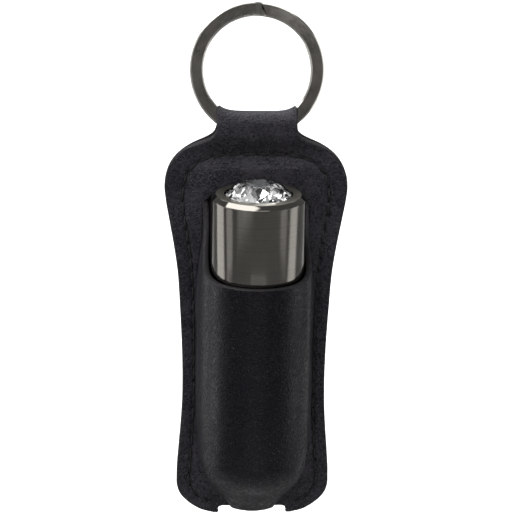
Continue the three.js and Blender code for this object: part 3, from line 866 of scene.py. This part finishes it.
def stitch_nodes():
    """Geometry Nodes: a stitch in each gap between evenly spaced holes along a curve."""
    tree = bpy.data.node_groups.new("lock_stitch", "GeometryNodeTree")
    face = tree.interface
    face.new_socket("Seam", in_out="INPUT", socket_type="NodeSocketGeometry")
    face.new_socket("Stitch", in_out="INPUT", socket_type="NodeSocketObject")
    face.new_socket("Count", in_out="INPUT", socket_type="NodeSocketInt")
    face.new_socket("Lay", in_out="INPUT", socket_type="NodeSocketFloat")
    face.new_socket("Thread", in_out="INPUT", socket_type="NodeSocketMaterial")
    face.new_socket("Stitches", in_out="OUTPUT", socket_type="NodeSocketGeometry")
    nodes, links = tree.nodes, tree.links
    start = nodes.new("NodeGroupInput")
    end = nodes.new("NodeGroupOutput")
    resample = nodes.new("GeometryNodeResampleCurve")
    resample.mode = "COUNT"
    tangent = nodes.new("GeometryNodeInputTangent")
    align = nodes.new("FunctionNodeAlignRotationToVector")
    align.axis = "X"
    align.pivot_axis = "Z"
    info = nodes.new("GeometryNodeObjectInfo")
    instance = nodes.new("GeometryNodeInstanceOnPoints")
    wander = nodes.new("FunctionNodeRandomValue")
    wander.data_type = "FLOAT_VECTOR"
    wander.inputs["Seed"].default_value = 4
    combine = nodes.new("ShaderNodeCombineXYZ")
    negative = nodes.new("ShaderNodeMath")
    negative.operation = "MULTIPLY"
    negative.inputs[1].default_value = -1.0
    combine_low = nodes.new("ShaderNodeCombineXYZ")
    turn_by = nodes.new("FunctionNodeRotateRotation")
    realize = nodes.new("GeometryNodeRealizeInstances")
    finish = nodes.new("GeometryNodeSetMaterial")
    links.new(start.outputs["Seam"], resample.inputs["Curve"])
    links.new(start.outputs["Count"], resample.inputs["Count"])
    links.new(tangent.outputs[0], align.inputs["Vector"])
    links.new(start.outputs["Stitch"], info.inputs["Object"])
    links.new(resample.outputs[0], instance.inputs["Points"])
    links.new(info.outputs["Geometry"], instance.inputs["Instance"])
    links.new(start.outputs["Lay"], combine.inputs["Z"])
    links.new(start.outputs["Lay"], negative.inputs[0])
    links.new(negative.outputs[0], combine_low.inputs["Z"])
    links.new(combine_low.outputs[0], wander.inputs["Min"])
    links.new(combine.outputs[0], wander.inputs["Max"])
    links.new(align.outputs[0], turn_by.inputs[0])
    links.new(wander.outputs[0], turn_by.inputs[1])
    links.new(turn_by.outputs[0], instance.inputs["Rotation"])
    links.new(instance.outputs[0], realize.inputs[0])
    links.new(realize.outputs[0], finish.inputs["Geometry"])
    links.new(start.outputs["Thread"], finish.inputs["Material"])
    links.new(finish.outputs[0], end.inputs[0])
    return tree


def seam_curve(name, flip):
    """The middles of the stitches as a curve in the panel's plane, its own Z out of the hide."""
    at = (np.arange(stitch_count) + 0.5) * stitch_step
    xs = np.interp(at, seam_run, seam_line[:, 0]) * flip
    ss = np.interp(at, seam_run, seam_line[:, 1])
    curve = bpy.data.curves.new(name, "CURVE")
    curve.dimensions = "3D"
    line = curve.splines.new("POLY")
    line.points.add(len(xs) - 1)
    for point, x, s in zip(line.points, xs, ss):
        point.co = (x * MM, s * MM, 0, 1)
    obj = bpy.data.objects.new(name, curve)
    scene.collection.objects.link(obj)
    return obj


def sew(name, pattern, tree, thread, front):
    """Runs the stitches along the seam and sets them in place on the front or the back."""
    obj = seam_curve(name, 1 if front else -1)
    run = obj.modifiers.new("stitches", "NODES")
    run.node_group = tree
    sockets = {i.name: i.identifier for i in tree.interface.items_tree if i.in_out == "INPUT"}
    run[sockets["Stitch"]] = pattern
    run[sockets["Count"]] = stitch_count
    run[sockets["Lay"]] = LAY
    run[sockets["Thread"]] = thread
    evaluated = obj.evaluated_get(bpy.context.evaluated_depsgraph_get())
    mesh = bpy.data.meshes.new_from_object(evaluated)
    bpy.data.objects.remove(obj)
    surface_w = PANEL_W + HIDE / 2 - THREAD_R
    stand = Matrix.Rotation(math.radians(90), 4, "X")
    if front:
        place = Matrix.Translation((0, -surface_w * MM, 0)) @ stand
    else:
        place = Matrix.Translation((0, surface_w * MM, 0)) @ Matrix.Rotation(math.pi, 4, "Z") @ stand
    mesh.transform(sheath_place @ place)
    made = bpy.data.objects.new(name, mesh)
    scene.collection.objects.link(made)
    mesh.polygons.foreach_set("use_smooth", [True] * len(mesh.polygons))
    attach(made, "sheath")
    return made


pattern = stitch_shape()
tree = stitch_nodes()
thread = waxed_thread()
front_seam = sew("front_stitches", pattern, tree, thread, True)
sew("back_stitches", pattern, tree, thread, False)
bpy.data.objects.remove(pattern)
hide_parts("seam_thread")

# ---------------------------------------------------------------------------------------------
# The light's shells: turned aluminium, polished and gunmetal plated, with fine turning lines round
# the head. The end face is left satin, and the rim is a bright polished chamfer.
# ---------------------------------------------------------------------------------------------
light_place = sheath_place @ Matrix.Translation(face_centre) @ Matrix.Rotation(tilt, 4, "X")
LIGHT_R = 8.6
CHAMFER = 0.8
HEAD_BOTTOM = -20.5
BARREL_TOP = -20.8
BARREL_BOTTOM = -47.2
TAIL_TOP = -47.5
TAIL_BOTTOM = -53.0
LATHE_SIDES = 144


def gunmetal():
    """Dark mirror plating over lathe marks: rings up the wall, circles and a satin grain on end faces."""
    place = object_place("gunmetal_plate")
    lathe = attribute(place, "lathe", 1)
    radius = lathe.node("ShaderNodeSeparateXYZ", {}, {"Vector": lathe}, 0)
    facing = lathe.node("ShaderNodeSeparateXYZ", {}, {"Vector": lathe}, 1)
    height = lathe.node("ShaderNodeSeparateXYZ", {}, {"Vector": lathe}, 2)
    one_way = {"noise_dimensions": "1D"}
    lines = height.node(
        "ShaderNodeTexNoise", one_way, {"W": height, "Scale": 4.6, "Detail": 4.0, "Roughness": 0.8},
    )
    rings = radius.node(
        "ShaderNodeTexNoise", one_way, {"W": radius, "Scale": 6.0, "Detail": 3.0, "Roughness": 0.7},
    )
    cloud = place.noise(170.0, 3.0)
    marks = lines * (1 - facing) + rings * facing
    grooves = marks.span(0.52, 0.72)
    wall = (grooves * 0.4).mix((0.215, 0.204, 0.186), (0.07, 0.067, 0.06))
    colour = facing.mix(wall, (0.34, 0.325, 0.275))
    rough = 0.05 + 0.27 * facing + 0.05 * (cloud - 0.4) + 0.1 * grooves
    return finish_material(
        place,
        {"Base Color": colour, "Metallic": 1.0, "Roughness": rough, "Normal": marks.bump(0.25, 0.00003)},
    )


def rounded(profile, reach):
    """A closed profile with a small curve at each corner marked True."""
    points = []
    for i, (r, z, soft) in enumerate(profile):
        if not soft:
            points.append((r, z))
            continue
        here = np.array((r, z))
        ends = []
        for other in (profile[i - 1], profile[(i + 1) % len(profile)]):
            step = np.array(other[:2]) - here
            length = np.linalg.norm(step)
            ends.append(here + step / length * min(reach, length * 0.4))
        for t in (0.0, 0.33, 0.67, 1.0):
            points.append(tuple((1 - t) ** 2 * ends[0] + 2 * t * (1 - t) * here + t * t * ends[1]))
    return points + [points[0]]


def turned_piece(name, profile, material, body, replaced, reach=0.07):
    """A turned piece of the light; its lathe attribute holds radius, end-face share and height."""
    verts, faces = lathe_mesh(rounded(profile, reach), LATHE_SIDES)
    obj = object_from(name, verts, faces, material)
    bm = bmesh.new()
    bm.from_mesh(obj.data)
    bmesh.ops.remove_doubles(bm, verts=bm.verts, dist=0.0002 * MM)
    bmesh.ops.recalc_face_normals(bm, faces=bm.faces)
    for edge in bm.edges:
        edge.smooth = edge.calc_face_angle(0) < math.radians(40)
    bm.to_mesh(obj.data)
    bm.free()
    mesh = obj.data
    marks = [(v.co.xy.length / MM, float(abs(v.normal.z) > 0.97), v.co.z / MM) for v in mesh.vertices]
    mesh.attributes.new("lathe", "FLOAT_VECTOR", "POINT").data.foreach_set(
        "vector", np.array(marks, np.float32).ravel())
    mesh.transform(light_place)
    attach(obj, body)
    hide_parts(replaced)
    return obj


plate = gunmetal()
turned_piece(
    "head_tube",
    [
        (6.2, 0, True), (LIGHT_R - CHAMFER, 0, True), (LIGHT_R, -CHAMFER, True),
        (LIGHT_R, HEAD_BOTTOM + 0.4, True), (LIGHT_R - 0.4, HEAD_BOTTOM, True),
        (7.3, HEAD_BOTTOM, True), (7.3, -2.2, False), (5.3, -2.2, False), (5.3, -1.3, False),
        (6.2, -1.3, False),
    ],
    plate, "head", "head_shell",
)
turned_piece(
    "barrel_tube",
    [
        (6.45, -14.8, False), (6.95, -14.8, True), (6.95, BARREL_TOP, False),
        (LIGHT_R - 0.3, BARREL_TOP, True), (LIGHT_R, BARREL_TOP - 0.3, True),
        (LIGHT_R, BARREL_BOTTOM, True), (6.45, BARREL_BOTTOM, True),
    ],
    plate, "light", "barrel",
)
turned_piece(
    "tail_cup",
    [
        (0, TAIL_TOP + 1.6, False), (6.3, TAIL_TOP + 1.6, True), (6.3, TAIL_TOP, False),
        (LIGHT_R, TAIL_TOP, True), (LIGHT_R, TAIL_BOTTOM + 1.0, True),
        (LIGHT_R - 1.0, TAIL_BOTTOM, True), (0, TAIL_BOTTOM, False),
    ],
    plate, "light", "tail_cap",
)

# ---------------------------------------------------------------------------------------------
# The crystal: a round brilliant-cut glass lens, pressed and fire-polished, that lies in the head's
# seat on a rubber ring. Its crown throws the light out in points.
# ---------------------------------------------------------------------------------------------
GIRDLE_R = 6.0


def clear_crystal():
    """Lead glass, clean and sharp, with faint polishing haze."""
    place = object_place("lead_glass")
    haze = place.noise(700.0, 2.0)
    tint = place.noise(90.0, 1.0).mix((0.97, 0.98, 1.0), (1.0, 0.99, 0.97))
    return finish_material(
        place,
        {"Base Color": tint, "Roughness": 0.012 * haze, "IOR": 1.75, "Transmission Weight": 1.0},
    )


def half_cut(table_r, table_z, side_r, girdle_z, up, swell=0.0):
    """Facets of a crown or a pavilion: a flat, eight kites, eight stars and sixteen girdle facets."""
    eighth = math.pi / 4
    slope = (girdle_z - table_z) / (GIRDLE_R - table_r)
    side_z = table_z + (side_r * math.cos(eighth / 2) - table_r) * slope + swell

    def point(r, k, z):
        return (r * math.cos(k * eighth), r * math.sin(k * eighth), z)

    flat = [point(table_r, k, table_z) for k in range(8)]
    side = [point(side_r, k + 0.5, side_z) for k in range(8)]
    girdle = [point(GIRDLE_R, k / 2, girdle_z) for k in range(16)]
    faces = [flat]
    for k in range(8):
        n = (k + 1) % 8
        faces.append([flat[k], side[k], flat[n]])
        faces.append([flat[n], side[k], girdle[2 * n], side[n]])
        faces.append([side[k], girdle[2 * k], girdle[2 * k + 1]])
        faces.append([side[k], girdle[2 * k + 1], girdle[(2 * k + 2) % 16]])
    return faces if up else [face[::-1] for face in faces], girdle


def make_crystal():
    crown, upper = half_cut(2.9, 2.0, 4.7, -0.1, True, 0.22)
    pavilion, lower = half_cut(0.6, -3.5, 2.6, -0.4, False)
    belt = [[upper[k], lower[k], lower[(k + 1) % 16], upper[(k + 1) % 16]] for k in range(16)]
    verts, faces = [], []
    for face in crown + pavilion + belt:
        faces.append(list(range(len(verts), len(verts) + len(face))))
        verts += face
    obj = object_from("crystal_brilliant", verts, faces, clear_crystal(), light_place)
    bm = bmesh.new()
    bm.from_mesh(obj.data)
    bmesh.ops.remove_doubles(bm, verts=bm.verts, dist=0.001 * MM)
    bmesh.ops.recalc_face_normals(bm, faces=bm.faces)
    bmesh.ops.bevel(bm, geom=bm.edges[:], offset=0.03 * MM, segments=1, affect="EDGES")
    for face in bm.faces:
        face.smooth = False
    bm.to_mesh(obj.data)
    bm.free()
    return obj


crystal = make_crystal()
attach(crystal, "head")
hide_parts("crystal_lens")

# ---------------------------------------------------------------------------------------------
# Inside the light: reflector, emitter, board and leads in the head; sleeve, cells, spring and
# sealing rings in the barrel. Their shapes are the frame's own; here they get their finishes.
# ---------------------------------------------------------------------------------------------


def plated_metal(name, dark, pale, roughness, scale):
    """A plated metal with clouded tone and fine scratches."""
    place = object_place(name)
    cloud = place.noise(scale, 4.0, 0.6)
    drawn_out = place.node("ShaderNodeMapping", {}, {"Vector": place, "Scale": (1.0, 1.0, 9.0)})
    scratch = drawn_out.noise(scale * 5, 3.0)
    return finish_material(
        place,
        {
            "Base Color": cloud.mix(dark, pale), "Metallic": 1.0,
            "Roughness": roughness + 0.15 * (scratch - 0.4), "Normal": scratch.bump(0.15, 0.00002),
        },
    )


def moulded_plastic(name, dark, pale, roughness, scale, clear=0.0):
    """A moulded plastic or rubber with a slightly uneven skin."""
    place = object_place(name)
    skin = place.noise(scale, 3.0)
    return finish_material(
        place,
        {
            "Base Color": skin.mix(dark, pale), "Roughness": roughness + 0.2 * (skin - 0.5),
            "Normal": skin.bump(0.25, 0.00003), "Transmission Weight": clear,
        },
    )


def fibre_board():
    """Green glass-fibre board, with the weave showing through the solder mask."""
    place = object_place("fibre_board")
    wave = {"Vector": place, "Scale": 700.0, "Distortion": 0.6}
    warp = place.node("ShaderNodeTexWave", {"bands_direction": "X"}, wave, 1)
    weft = place.node("ShaderNodeTexWave", {"bands_direction": "Y"}, wave, 1)
    weave = warp + weft
    colour = (weave * 0.5).mix((0.006, 0.07, 0.022), (0.014, 0.13, 0.045))
    return finish_material(
        place, {"Base Color": colour, "Roughness": 0.35, "Normal": weave.bump(0.2, 0.00003)},
    )


rubber = moulded_plastic("seal_rubber", (0.008, 0.008, 0.008), (0.02, 0.02, 0.02), 0.6, 1500.0)
chrome = plated_metal("vacuum_chrome", (0.82, 0.82, 0.84), (0.93, 0.93, 0.93), 0.08, 400.0)
brass = plated_metal("turned_brass", (0.55, 0.38, 0.14), (0.72, 0.52, 0.24), 0.3, 600.0)
tin = plated_metal("tinned_wire", (0.55, 0.55, 0.56), (0.75, 0.75, 0.74), 0.32, 800.0)
nickel = plated_metal("nickel_case", (0.5, 0.5, 0.49), (0.66, 0.65, 0.63), 0.28, 500.0)
finishes = {
    "lens_seal": rubber,
    "neck_o_ring": rubber,
    "tail_o_ring": rubber,
    "reflector": chrome,
    "led": moulded_plastic("clear_epoxy", (0.85, 0.88, 0.9), (0.95, 0.96, 0.97), 0.12, 900.0, clear=0.9),
    "led_holder": moulded_plastic("white_acetal", (0.7, 0.69, 0.66), (0.8, 0.79, 0.77), 0.42, 700.0),
    "led_board": fibre_board(),
    "anode_lead": tin,
    "cathode_lead": tin,
    "contact_stud": brass,
    "battery_sleeve": moulded_plastic("card_sleeve", (0.6, 0.59, 0.55), (0.72, 0.71, 0.68), 0.6, 500.0),
    "button_cell_1": nickel,
    "button_cell_2": nickel,
    "button_cell_3": nickel,
    "button_cell_4": nickel,
    "tail_spring": tin,
}
for node, finish in finishes.items():
    slots = frame["nodes"][node].data.materials
    slots.clear()
    slots.append(finish)
